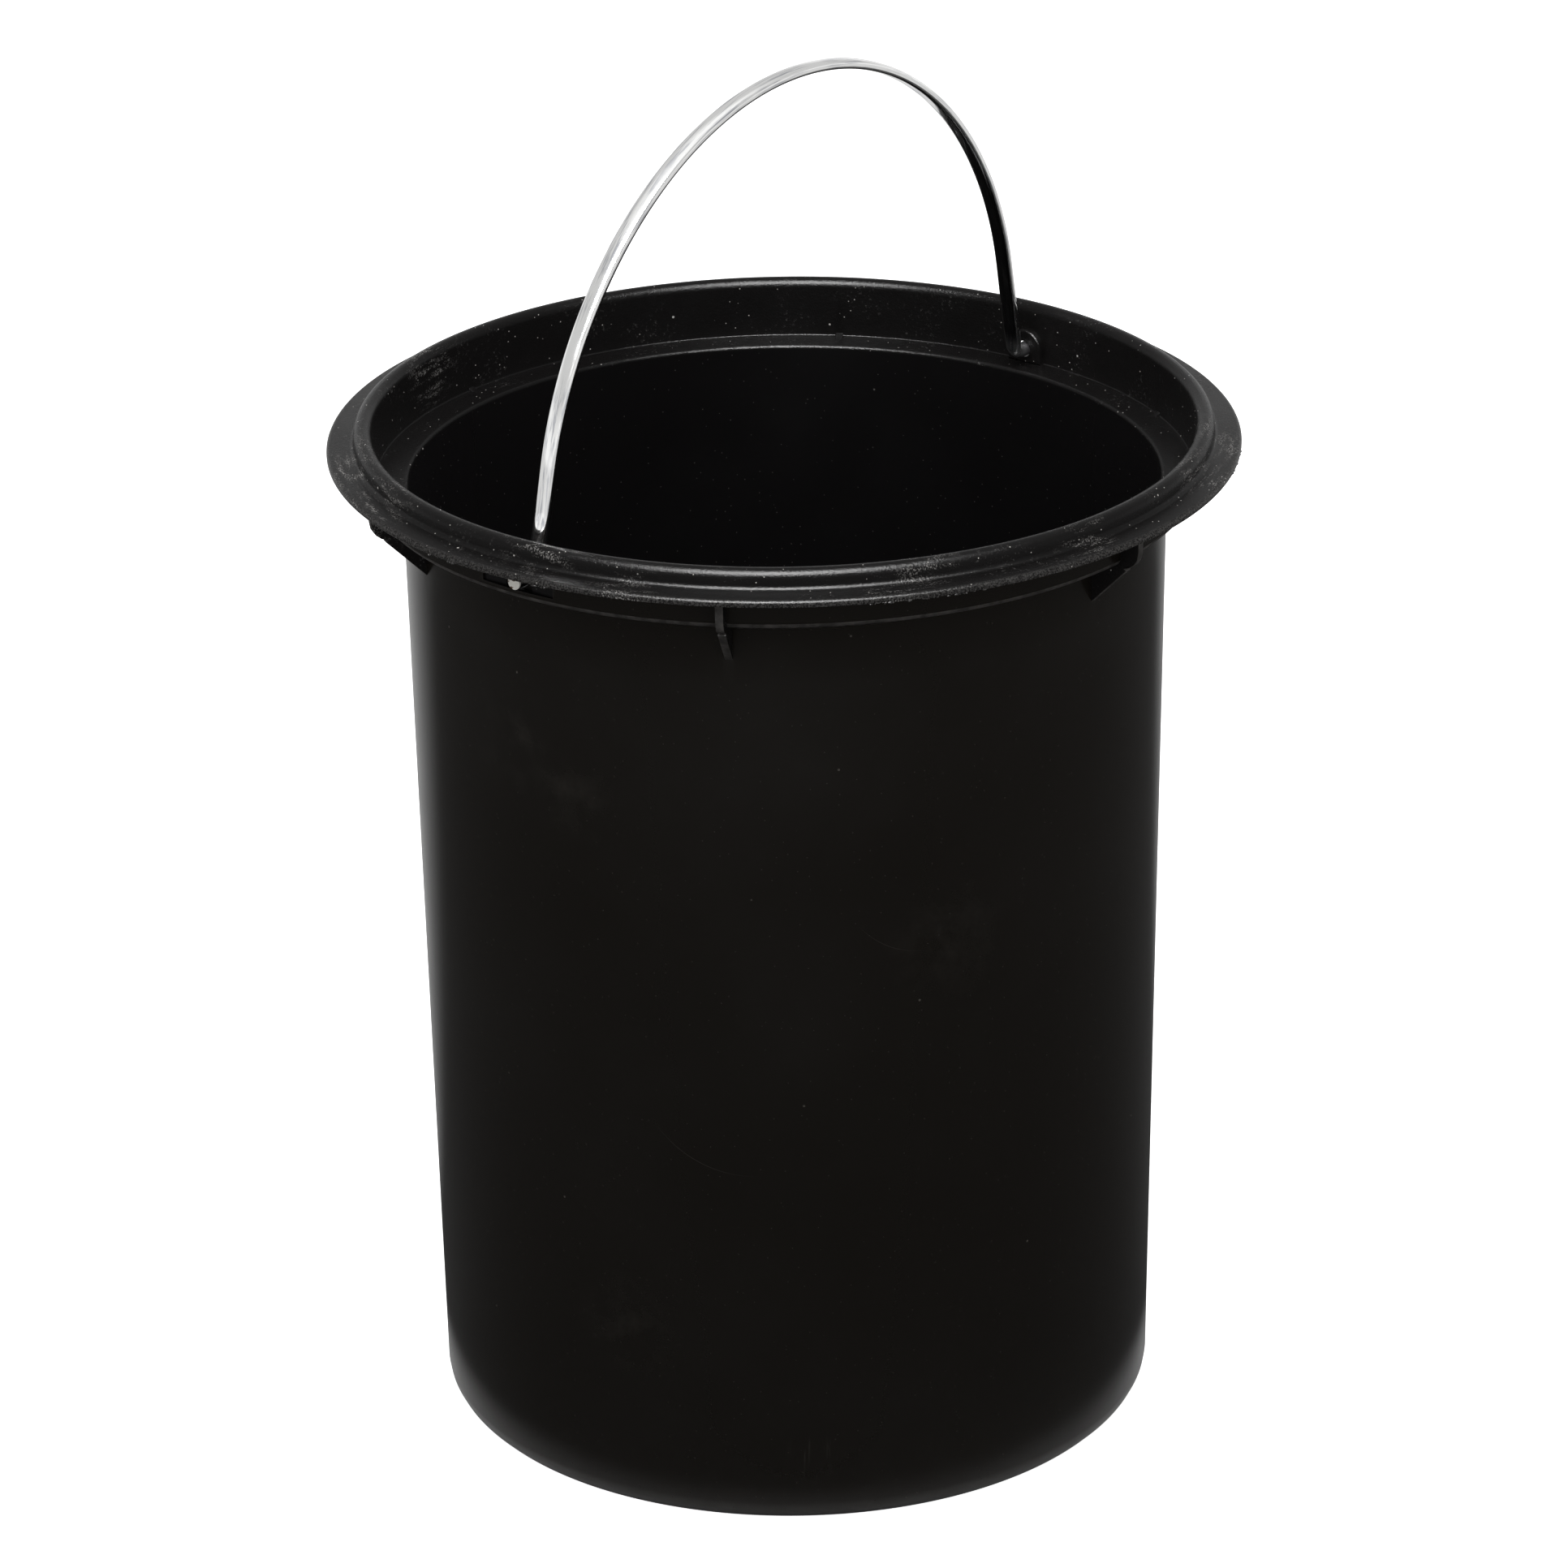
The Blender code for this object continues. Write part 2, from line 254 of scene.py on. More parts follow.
# the same plastic on the inside, a little blacker and with paler dust
insideLook = dict(wallLook, colour=(0.0085, 0.0079, 0.0083), dust=(0.2, 0.19, 0.18), specular=0.1,
                  dusty=(((-20, 60, 60), 50),))


def wallPlastic(name, look):
    mat, tree, shader = newMaterial(name, look["colour"], Specular_IOR_Level=look["specular"])
    place = objectPlace(tree)
    cloudy = noiseAt(tree, place, look["cloud"], 4)
    dusty = sumOf(tree, [spotAt(tree, place, *spot) for spot in look["dusty"]])
    film = maths(tree, "MULTIPLY", ramp(tree, noiseAt(tree, place, look["film"], 5, 0.65), 0.45, 0.75), dusty)
    upright = objectPlace(tree, scale=(1, 1, 0.06))     # draws the rub marks out up the wall
    rubs = maths(tree, "MULTIPLY", ramp(tree, noiseAt(tree, upright, look["rub"], 3), 0.6, 0.72),
                 spotAt(tree, place, *look["rubbed"]))
    lines = [arcScratch(tree, place, *scratch) for scratch in look["scratches"]]
    fine = specksAt(tree, place, *look["fine"])
    bits = specksAt(tree, place, *look["bits"])
    marks = [
        maths(tree, "MULTIPLY", film, look["filmAmount"]),
        maths(tree, "MULTIPLY", rubs, look["rubAmount"]),
        maths(tree, "MULTIPLY", fine, look["fineAmount"]),
        bits,
    ]
    marks += [maths(tree, "MULTIPLY", line, look["lineAmount"]) for line in lines]
    dirt = mixColour(tree, sumOf(tree, marks), look["colour"], look["dust"])
    tree.links.new(dirt, shader.inputs["Base Color"])
    polish = ramp(tree, cloudy, 0.3, 0.7, look["smooth"], look["dull"])
    tree.links.new(polish, shader.inputs["Roughness"])
    skin = bumpFrom(tree, noiseAt(tree, place, look["grain"], 2), 0.2, 0.00004)
    tree.links.new(skin, shader.inputs["Normal"])
    return mat


rimLook = {
    "colour": (0.01, 0.0093, 0.0092),
    "scuff": (0.58, 0.56, 0.54),
    "speck": (0.85, 0.82, 0.78),
    "paint": (0.05, 0.32, 0.23),
    "smooth": 0.2,
    "dull": 0.28,
    "specular": 0.062,
    "grain": 850,            # noise scales, the larger the finer
    "patch": 60,
    "powder": 2100,
    "drawn": 420,
    "drawnOut": 5,           # how much longer a scuff is round the rim than across it
    "fineSpecks": (2.6, 0.2, 0.7),
    "bigSpecks": (9.0, 0.42, 0.5),
    "edgeFrom": 128.7,       # the flange is worn paler outside this radius
    "scuffs": (
        ((-60, -112.5, 295), 22), ((-80, -98, 295), 20), ((105.7, 63.5, 295), 14), ((119.6, 39.8, 295), 15),
        ((121, -20.7, 295), 12), ((9.8, -118, 300.7), 14), ((101, -81, 293), 10), ((40, -122, 295), 12),
        ((98, -66, 299), 12), ((-118, -20, 298), 16),
    ),
    "paintSpot": ((-70.1, 88.4, 300.6), 1.3),
}


def rimPlastic():
    look = rimLook
    mat, tree, shader = newMaterial("rimPlastic", look["colour"], Specular_IOR_Level=look["specular"])
    place = objectPlace(tree)
    grain = noiseAt(tree, place, look["grain"], 4, 0.75)
    patches = noiseAt(tree, place, look["patch"], 5, 0.6)
    powder = noiseAt(tree, place, look["powder"], 2, 0.6)
    drawn = noiseAt(tree, roundTheRim(tree, look["drawnOut"]), look["drawn"], 5, 0.7)
    scuffed = sumOf(tree, [spotAt(tree, place, *spot) for spot in look["scuffs"]])
    scuffed = maths(tree, "MULTIPLY", scuffed, ramp(tree, drawn, 0.5, 0.7))
    scuffed = maths(tree, "MULTIPLY", scuffed, ramp(tree, powder, 0.5, 0.6))
    edge = ramp(tree, outFromAxis(tree), look["edgeFrom"] * mm, bucket["flangeOut"] * mm)
    edge = maths(tree, "MULTIPLY", edge, ramp(tree, powder, 0.4, 0.65, 0.0, 0.16))
    scattered = maths(tree, "MULTIPLY", ramp(tree, grain, 0.58, 0.72),
                      ramp(tree, patches, 0.5, 0.7, 0.0, 0.3))
    rubbed = mixColour(tree, sumOf(tree, [scuffed, scattered, edge]), look["colour"], look["scuff"])
    specks = maths(tree, "MAXIMUM", specksAt(tree, place, *look["fineSpecks"]),
                   specksAt(tree, place, *look["bigSpecks"]))
    specked = mixColour(tree, specks, rubbed, look["speck"])
    painted = mixColour(tree, spotAt(tree, place, *look["paintSpot"]), specked, look["paint"])
    tree.links.new(painted, shader.inputs["Base Color"])
    polish = ramp(tree, patches, 0.3, 0.7, look["smooth"], look["dull"])
    tree.links.new(polish, shader.inputs["Roughness"])
    rough = bumpFrom(tree, grain, 0.5, 0.00014)
    tree.links.new(bumpFrom(tree, powder, 0.8, 0.00013, rough), shader.inputs["Normal"])
    return mat


edgeSheenLook = {
    "colour": (0.03, 0.028, 0.0265),
    "worn": (0.075, 0.07, 0.066),
    "roughness": 0.55,
    "specular": 0.2,
    "wear": 240,
    "grain": 1300,
}


def edgeSheenPlastic():
    # the gussets and the downward-facing corner of the step, in a paler grey than the wall: a painted
    # reflection of the floor on the step's rounded corner and a painted highlight along the gussets, mottled
    # paler in places
    look = edgeSheenLook
    mat, tree, shader = newMaterial("edgeSheenPlastic", look["colour"], Roughness=look["roughness"],
                                    Specular_IOR_Level=look["specular"])
    place = objectPlace(tree)
    wear = ramp(tree, noiseAt(tree, place, look["wear"], 4, 0.6), 0.4, 0.65)
    tree.links.new(mixColour(tree, wear, look["colour"], look["worn"]), shader.inputs["Base Color"])
    skin = bumpFrom(tree, noiseAt(tree, place, look["grain"], 3), 0.5, 0.0001)
    tree.links.new(skin, shader.inputs["Normal"])
    return mat


bailLook = {
    "colour": (0.95, 0.95, 0.94),
    "streak": (0.5, 0.51, 0.54),
    "smooth": 0.05,
    "dull": 0.16,
    "foot": (0.07, 0.068, 0.072),     # painted shade: the wire is near-black within reach of the pins, where it sits in the pockets and bosses
    "footReach": 15,
    "footDull": 0.4,
    "grain": 1500,
    "broad": 45,
    "drawnOut": 0.004,       # metres of texture for each radian round the arch
    "cutEnd": (0.88, 0.86, 0.8),
    "rust": (0.1, 0.045, 0.02),
}


def brightWire():
    look = bailLook
    mat, tree, shader = newMaterial("brightWire", look["colour"], Metallic=1.0)
    # the streaks run along the wire, so their texture is laid out by the angle round the arch
    coords = addNode(tree, "ShaderNodeTexCoord")
    above = addNode(tree, "ShaderNodeVectorMath", operation="SUBTRACT")
    tree.links.new(coords.outputs["Object"], above.inputs[0])
    above.inputs[1].default_value = pivot
    split = addNode(tree, "ShaderNodeSeparateXYZ")
    tree.links.new(above.outputs[0], split.inputs[0])
    far = addNode(tree, "ShaderNodeVectorMath", operation="LENGTH")
    tree.links.new(above.outputs[0], far.inputs[0])
    laid = addNode(tree, "ShaderNodeCombineXYZ")
    tree.links.new(split.outputs["X"], laid.inputs["X"])
    tree.links.new(far.outputs["Value"], laid.inputs["Y"])
    angle = maths(tree, "ARCTAN2", split.outputs["Z"], split.outputs["Y"])
    tree.links.new(maths(tree, "MULTIPLY", angle, look["drawnOut"]), laid.inputs["Z"])
    streaks = noiseAt(tree, laid.outputs[0], look["grain"], 3, 0.6)
    broad = noiseAt(tree, objectPlace(tree), look["broad"], 3)
    marked = maths(tree, "MULTIPLY", ramp(tree, streaks, 0.47, 0.62), ramp(tree, broad, 0.38, 0.55))
    streaked = mixColour(tree, marked, look["colour"], look["streak"])
    # painted shade on the wire near the pins, inside the pockets and bosses
    shadedFeet = sumOf(tree, [spotAt(tree, objectPlace(tree), (0, side * bucket["neckIn"], pivot.z / mm),
                               look["footReach"]) for side in (-1, 1)])
    tree.links.new(mixColour(tree, shadedFeet, streaked, look["foot"]), shader.inputs["Base Color"])
    polish = ramp(tree, streaks, 0.35, 0.75, look["smooth"], look["dull"])
    polish = maths(tree, "MAXIMUM", polish, maths(tree, "MULTIPLY", shadedFeet, look["footDull"]))
    tree.links.new(polish, shader.inputs["Roughness"])
    tree.links.new(bumpFrom(tree, broad, 0.1, 0.0002), shader.inputs["Normal"])
    return mat


def cutWire():
    look = bailLook
    mat, tree, shader = newMaterial("cutWire", look["cutEnd"], Metallic=0.2, Roughness=0.45)
    rusty = ramp(tree, noiseAt(tree, objectPlace(tree), 700, 3), 0.54, 0.62)
    tree.links.new(mixColour(tree, rusty, look["cutEnd"], look["rust"]), shader.inputs["Base Color"])
    burr = bumpFrom(tree, noiseAt(tree, objectPlace(tree), 900, 2), 0.6, 0.0003)
    tree.links.new(burr, shader.inputs["Normal"])
    return mat


def floorPaint():
    # white paper where it is looked at; what the black plastic mirrors is greyer, and lighter behind
    mat, tree, shader = newMaterial(
        "floorPaint", (0.9, 0.9, 0.9), Roughness=0.9, Specular_IOR_Level=0.0,
        Emission_Color=(1, 1, 1, 1), Emission_Strength=studio["paperGlow"])
    coords = addNode(tree, "ShaderNodeTexCoord")
    back = addNode(tree, "ShaderNodeVectorMath", operation="NORMALIZE")
    tree.links.new(coords.outputs["Object"], back.inputs[0])
    facing = addNode(tree, "ShaderNodeVectorMath", operation="DOT_PRODUCT")
    turn = math.radians(viewpoint["turn"] + studio["floorAside"])
    facing.inputs[1].default_value = (-math.sin(turn), math.cos(turn), 0)
    tree.links.new(back.outputs[0], facing.inputs[0])
    grey = ramp(tree, facing.outputs["Value"], *studio["behindArc"],
                studio["floorFront"], studio["floorBehind"])
    away = addNode(tree, "ShaderNodeVectorMath", operation="LENGTH")
    tree.links.new(coords.outputs["Object"], away.inputs[0])
    # painted pool of light: what the bucket mirrors is lighter in a ring round its base, against the bucket's
    # own shadow there
    near = ramp(tree, away.outputs["Value"], *studio["nearRing"], studio["floorNear"], 0.0)
    beyond = ramp(tree, away.outputs["Value"], *studio["farRing"], 0.0, studio["floorFar"])
    mirrored = addNode(tree, "ShaderNodeCombineColor")
    for socket in mirrored.inputs[:3]:
        tree.links.new(sumOf(tree, [grey, near, beyond]), socket)
    dull = addNode(tree, "ShaderNodeBsdfDiffuse")
    tree.links.new(mirrored.outputs[0], dull.inputs["Color"])
    seen = addNode(tree, "ShaderNodeLightPath")
    mix = addNode(tree, "ShaderNodeMixShader")
    tree.links.new(seen.outputs["Is Camera Ray"], mix.inputs[0])
    tree.links.new(dull.outputs[0], mix.inputs[1])
    tree.links.new(shader.outputs[0], mix.inputs[2])
    tree.links.new(mix.outputs[0], tree.nodes["Material Output"].inputs["Surface"])
    return mat


bucket = {
    "turnSteps": 360,
    "roundSteps": 5,
    "smoothAngle": 32,
    "floorTop": 3.0,
    "wallFoot": 104.0,     # outer radius where the wall would reach the ground
    "wallTop": 108.85,     # outer radius under the step
    "stepFoot": 278.9,
    "ledge": 283.6,
    "wall": 1.8,
    "neckOut": 118.6,
    "neckIn": 116.85,
    "flangeTop": 295.0,
    "flangeThick": 2.0,
    "flangeOut": 130.0,
    "beadTop": 300.7,
    "beadOut": 122.1,
    "stepTop": 282.8,
    "extraRings": (262, 30),   # heights of plain rings that keep the shading of the long wall even
    "footRing": 89.0,
    "footLift": 1.2,
}


def bucketOutline():
    b = bucket
    slope = (b["wallTop"] - b["wallFoot"]) / b["stepFoot"]
    innerFoot = b["wallFoot"] + b["floorTop"] * slope - b["wall"]
    outside = [(b["wallFoot"] + slope * up, up, 0) for up in b["extraRings"]]
    return [
        (0, b["floorTop"], 0),
        (innerFoot, b["floorTop"], 6.0),
        (b["wallTop"] - b["wall"], b["ledge"] - 0.1, 1.1),
        (b["neckIn"], b["ledge"] - 0.4, 0.45),
        (b["neckIn"] + 0.1, b["beadTop"], 2.5),
        (b["beadOut"], b["beadTop"], 2.5),
        (b["beadOut"] + 0.1, b["flangeTop"] + 0.2, 1.4),
        (b["flangeOut"], b["flangeTop"], 1.15),
        (b["flangeOut"] - 0.1, b["flangeTop"] - b["flangeThick"], 0.3),
        (b["neckOut"] + 0.05, b["flangeTop"] - b["flangeThick"] - 0.1, 0.5),
        (b["neckOut"], b["stepTop"], 1.5),
        (b["wallTop"], b["stepFoot"], 0.7),
        *outside,
        (b["wallFoot"], 0, 7.2),
        (b["footRing"], 0, 0.4),
        (b["footRing"] - 1, b["footLift"], 0.4),
        (0, b["footLift"], 0),
    ]


gusset = {
    "count": 6,
    "thick": 2.3,
    "rootIn": 117.7,         # sunk into the neck's wall
    "top": 294.0,            # sunk into the flange
    "reach": 124.8,
    "roundTop": 287.2,
    "rounding": (            # in from the reach, and the share of the way down to the notch
        (0.2, 0.0), (0.6, 0.38), (1.7, 0.68), (3.2, 0.88),
    ),
    "notch": (119.8, 281.5),
    "taperTop": (120.4, 281.0),
    "taperCorner": (0.15, 0.25),
    "taperFoot": (108.2, 268.8),
    "wallIn": 107.9,         # sunk into the body's wall
    "neckFoot": 284.6,
    "edge": 0.18,
}


def gussetShape(turn):
    g = gusset
    bm = bmesh.new()
    drop = g["roundTop"] - g["notch"][1]
    inward, upward = g["taperCorner"]
    corners = [
        (g["rootIn"], g["top"]), (g["reach"], g["top"]),
        *[(g["reach"] - back, g["roundTop"] - share * drop) for back, share in g["rounding"]],
        g["notch"], (g["taperTop"][0] - inward, g["taperTop"][1] + upward), g["taperTop"], g["taperFoot"],
        (g["wallIn"], bucket["stepFoot"] + 0.2), (g["rootIn"], g["neckFoot"]),
    ]
    verts = [bm.verts.new((x * mm, -g["thick"] / 2 * mm, z * mm)) for x, z in corners]
    face = bm.faces.new(verts)
    grown = bmesh.ops.extrude_face_region(bm, geom=[face])["geom"]
    moved = [item for item in grown if isinstance(item, bmesh.types.BMVert)]
    bmesh.ops.translate(bm, verts=moved, vec=(0, g["thick"] * mm, 0))
    bmesh.ops.recalc_face_normals(bm, faces=bm.faces)
    long = [e for e in bm.edges if abs(e.verts[0].co.y - e.verts[1].co.y) < 1e-7]
    bmesh.ops.bevel(bm, geom=long, offset=g["edge"] * mm, offset_type="OFFSET", segments=2,
                    profile=0.5, affect="EDGES", material=-1)
    bmesh.ops.rotate(bm, verts=bm.verts, cent=(0, 0, 0), matrix=Matrix.Rotation(turn, 3, "Z"))
    return bm


boss = {
    "radius": 5.9,
    "face": 114.7,
    "rootIn": 117.6,         # sunk into the neck's wall
    "foot": 283.2,           # sunk into the ledge
    "edge": 0.75,
    "sides": 48,
}


def bossShape(side):
    s = boss
    bm = bmesh.new()
    up = pivot.z / mm
    ring = bmesh.ops.create_circle(bm, segments=s["sides"], radius=s["radius"] * mm)["verts"]
    bmesh.ops.rotate(bm, verts=ring, cent=(0, 0, 0), matrix=Matrix.Rotation(math.pi / 2, 3, "X"))
    for vert in ring:
        if vert.co.z < 0:
            vert.co.x = math.copysign(s["radius"] * mm, vert.co.x) if abs(vert.co.x) > 1e-6 else 0
            vert.co.z = (s["foot"] - up) * mm
    bmesh.ops.remove_doubles(bm, verts=bm.verts, dist=1e-6)
    front = bm.faces.new(sorted(bm.verts, key=lambda v: math.atan2(v.co.z + 2 * mm, v.co.x)))
    grown = bmesh.ops.extrude_face_region(bm, geom=[front])["geom"]
    moved = [item for item in grown if isinstance(item, bmesh.types.BMVert)]
    bmesh.ops.translate(bm, verts=moved, vec=(0, (s["rootIn"] - s["face"]) * mm, 0))
    bmesh.ops.translate(bm, verts=bm.verts, vec=(0, s["face"] * mm, pivot.z))
    bmesh.ops.recalc_face_normals(bm, faces=bm.faces)
    rim = [e for e in bm.edges if all(abs(v.co.y - s["face"] * mm) < 1e-7 for v in e.verts)]
    bmesh.ops.bevel(bm, geom=rim, offset=s["edge"] * mm, offset_type="OFFSET", segments=4,
                    profile=0.5, affect="EDGES", material=-1)
    if side < 0:
        bmesh.ops.rotate(bm, verts=bm.verts, cent=(0, 0, 0), matrix=Matrix.Rotation(math.pi, 3, "Z"))
    return bm


recess = {
    "windowHalf": 12.4,
    "windowFloor": 117.3,
    "foot": 284.9,
    "pocketRadius": 4.5,
    "pocketFloor": 116.2,
    "pocketSteps": 24,
    "hole": 2.45,
    "holeSides": 48,
    "holeLength": 260,       # right through both sides
    "outside": 121.0,        # clear of the neck's outside
    "underFlange": 0.4,
}


def recessShape(side, outline, floor):
    # an outline in XZ, in mm, cut into the outside of the neck down to the given floor
    bm = bmesh.new()
    face = bm.faces.new([bm.verts.new((x * mm, side * floor * mm, z * mm)) for x, z in outline])
    grown = bmesh.ops.extrude_face_region(bm, geom=[face])["geom"]
    moved = [item for item in grown if isinstance(item, bmesh.types.BMVert)]
    bmesh.ops.translate(bm, verts=moved, vec=(0, side * (recess["outside"] - floor) * mm, 0))
    return bm


def windowOutline():
    top = bucket["flangeTop"] - bucket["flangeThick"] - recess["underFlange"]
    half, foot = recess["windowHalf"], recess["foot"]
    return [(-half, foot), (half, foot), (half, top), (-half, top)]


def pocketOutline():
    radius, foot, steps = recess["pocketRadius"], recess["foot"], recess["pocketSteps"]
    turns = [math.pi * i / steps for i in range(steps + 1)]
    arch = [(radius * math.cos(turn), pivot.z / mm + radius * math.sin(turn)) for turn in turns]
    return arch + [(-radius, foot), (radius, foot)]


def holeShape():
    bm = bmesh.new()
    along = Matrix.Translation(pivot) @ Matrix.Rotation(math.pi / 2, 4, "X")
    radius = recess["hole"] * mm
    bmesh.ops.create_cone(bm, cap_ends=True, segments=recess["holeSides"], radius1=radius, radius2=radius,
                          depth=recess["holeLength"] * mm, matrix=along)
    return bm


finishes = {
    "rimFrom": 292.5,        # heights and radii, in mm, between which each finish lies
    "innerRimFrom": 282.3,
    "neckMiddle": 117.5,
    "pastWall": 109.8,
    "gussetOut": 119.0,
    "taperTop": 281.5,
    "stepOut": 117.3,
    "stepTop": 284.6,
    # where the window recesses take the inside plastic as painted shade
    "windowHalf": 12.6,
    "windowIn": 115.9,
    "windowSpan": (284.5, 292.8),
    "windowRadii": (116.95, 118.35),
    "insideFrom": 2,
    "skin": 1,
}


def surfaceOf(face):
    # 0 outside wall, 1 rim, 2 paler edge plastic (painted reflection and highlight), 3 inside wall, also the
    # painted shade in the window recesses
    f = finishes
    centre = face.center / mm
    out, up = math.hypot(centre.x, centre.y), centre.z
    outward = (face.normal.x * centre.x + face.normal.y * centre.y) / out
    notFlank = abs(face.normal.z) + abs(outward) > 0.9
    if up < f["rimFrom"] and out > f["pastWall"] and notFlank:
        onGusset = out > f["gussetOut"] or (up < f["taperTop"] and outward > 0.5)
        # the step's rounded corner faces down to the floor; its paler plastic is a painted reflection of the
        # floor
        onStep = out > f["stepOut"] and up < f["stepTop"] and face.normal.z < -0.15
        if onGusset or onStep:
            return 2
    # painted shade: the floor and sides of the window recesses get the blacker, less glossy inside plastic,
    # standing in for the shade under the flange
    inShadedWindow = abs(centre.x) < f["windowHalf"] and abs(centre.y) > f["windowIn"]
    inShadedWindow = inShadedWindow and f["windowSpan"][0] < up < f["windowSpan"][1]
    if inShadedWindow and f["windowRadii"][0] < out < f["windowRadii"][1]:
        return 3
    if up > (f["rimFrom"] if out > f["neckMiddle"] else f["innerRimFrom"]):
        return 1
    outerWall = bucket["wallFoot"] + (bucket["wallTop"] - bucket["wallFoot"]) * up / bucket["stepFoot"]
    return 3 if up > f["insideFrom"] and out < outerWall - f["skin"] else 0


def makeBucket(materials):
    bm = bmesh.new()
    roundedOutline(bm, bucketOutline(), bucket["roundSteps"])
    bmesh.ops.spin(bm, geom=bm.verts[:] + bm.edges[:], cent=(0, 0, 0), axis=(0, 0, 1), dvec=(0, 0, 0),
                   angle=2 * math.pi, steps=bucket["turnSteps"], use_merge=True, use_duplicate=False)
    bmesh.ops.remove_doubles(bm, verts=bm.verts, dist=1e-6)
    bmesh.ops.recalc_face_normals(bm, faces=bm.faces)
    piece = newPiece("bucketMoulding", bm, materials, "bucket")
    tools = [toolObject("gusset%d" % i, gussetShape(2 * math.pi * i / gusset["count"]))
             for i in range(gusset["count"])]
    tools += [toolObject("bossFar", bossShape(1)), toolObject("bossNear", bossShape(-1))]
    for tool in tools:
        cutOrJoin(piece, tool, "UNION")
    cutters = [toolObject("hole", holeShape())]
    for side, end in ((1, "Far"), (-1, "Near")):
        window = recessShape(side, windowOutline(), recess["windowFloor"])
        pocket = recessShape(side, pocketOutline(), recess["pocketFloor"])
        cutters += [toolObject("window" + end, window), toolObject("pocket" + end, pocket)]
    for tool in cutters:
        cutOrJoin(piece, tool, "DIFFERENCE")
    applyAll(piece)
    for tool in tools + cutters:
        bpy.data.objects.remove(tool, do_unlink=True)
    for face in piece.data.polygons:
        face.material_index = surfaceOf(face)
    piece.data.shade_smooth()
    piece.data.set_sharp_from_angle(angle=math.radians(bucket["smoothAngle"]))
    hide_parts("bucket_moulding")
    print("bucket made:", len(piece.data.polygons), "faces")


flash = {
    "seed": 5,
    "size": (0.25, 0.55),
    "stretches": (           # from and to, in degrees round from +X, and how many crumbs
        (-85.5, -82.0, 7), (-42.0, -27.0, 16), (-101.0, -96.0, 5), (24.0, 34.0, 6),
    ),
    "lump": 0.5,
    "lumpScale": 1800,
    "inward": 0.35,
    "below": 0.15,
}


def makeFlash(rimMat):
    # crumbs of moulding flash left along the lower edge of the flange
    dice = random.Random(flash["seed"])
    bm = bmesh.new()
    for start, end, count in flash["stretches"]:
        for i in range(count):
            angle = math.radians(dice.uniform(start, end))
            size = dice.uniform(*flash["size"]) * mm
            crumb = bmesh.ops.create_icosphere(bm, subdivisions=2, radius=size)["verts"]
            for vert in crumb:
                lumps = noise.noise(vert.co * flash["lumpScale"] + Vector((i * 3.1, start, 0)))
                vert.co *= 1 + flash["lump"] * lumps
            bmesh.ops.scale(bm, verts=crumb, vec=(dice.uniform(0.6, 1.0), dice.uniform(1.0, 2.4), 0.7))
            out = (bucket["flangeOut"] - flash["inward"]) * mm
            up = (bucket["flangeTop"] - bucket["flangeThick"] - dice.uniform(0.0, flash["below"])) * mm
            where = Matrix.Rotation(angle, 4, "Z") @ Matrix.Translation((out, 0, up))
            bmesh.ops.transform(bm, verts=crumb, matrix=where)
    piece = newPiece("flashCrumbs", bm, [rimMat], "bucket")
    piece.data.shade_smooth()
    print("flash made")


bail = {
    "wire": 2.1,          # radius of the round wire
    "halfWide": 2.5,      # half the pressed width, across the bail's plane
    "halfThick": 1.43,    # half the pressed thickness
    "innerSquare": 4.0,   # how flat the inner face is pressed: 2 is round
    "outerSquare": 2.5,
    "archRadius": 106.6,
    "archUp": 7.9,        # centre of the arch above the pivot
    "archHalfAngle": 78.6,
    "bend": 3.4,
    "end": 119.6,
    "endCap": 0.45,
    "lean": 1.45,         # degrees off upright at rest
    "sides": 56,
    "archSteps": 90,
    "legSteps": 24,
    "bendSteps": 12,
    "swellOver": (0.5, 8.0),    # the pressing starts this far above the pivot and takes this long to come in
    "innerOver": (0.8, 3.5),
    "outerOver": (7.0, 9.0),
    "smoothAngle": 40,
}


def bailRoute():
    # (out, up, heading) along one half, apex first, mm and radians; heading 0 points out, a quarter turn
    # below that points down
    b = bail
    route = []
    for i in range(b["archSteps"] + 1):
        turn = math.radians(b["archHalfAngle"]) * i / b["archSteps"]
        out, up = b["archRadius"] * math.sin(turn), b["archUp"] + b["archRadius"] * math.cos(turn)
        route.append((out, up, -turn))
    heading = -math.radians(b["archHalfAngle"])
    lean = math.radians(90 - b["archHalfAngle"])
    corner = out + up * math.tan(lean)
    reach = b["bend"] * math.tan((math.pi / 2 - lean) / 2)
    endOut, endUp = corner - reach * math.sin(lean), reach * math.cos(lean)
    for i in range(1, b["legSteps"] + 1):
        share = i / b["legSteps"]
        route.append((out + (endOut - out) * share, up + (endUp - up) * share, heading))
    for i in range(1, b["bendSteps"] + 1):
        turn = heading * (1 - i / b["bendSteps"])
        bendOut, bendUp = corner + reach + b["bend"] * math.sin(turn), b["bend"] - b["bend"] * math.cos(turn)
        route.append((bendOut, bendUp, turn))
    route.append((b["end"] - b["endCap"], 0, 0))
    route.append((b["end"], 0, 0))
    return route


def comeIn(up, over):
    start, length = over
    return min(1, max(0, (up - start) / length))


def pressedRing(ring, up):
    # the wire is left round at the pins and pressed flat on the arch
    b = bail
    inner, outer = comeIn(up, b["innerOver"]), comeIn(up, b["outerOver"])
    wide = b["wire"] + (b["halfWide"] - b["wire"]) * comeIn(up, b["swellOver"])
    for vert in ring:
        angle = math.atan2(vert.co.z, vert.co.x)
        cos, sin = math.cos(angle), math.sin(angle)
        amount, square = (outer, b["outerSquare"]) if sin > 0 else (inner, b["innerSquare"])
        power = 2 / (2 + (square - 2) * amount)
        thick = b["wire"] + (b["halfThick"] - b["wire"]) * amount
        vert.co.x = math.copysign(abs(cos) ** power, cos) * wide * mm
        vert.co.z = math.copysign(abs(sin) ** power, sin) * thick * mm


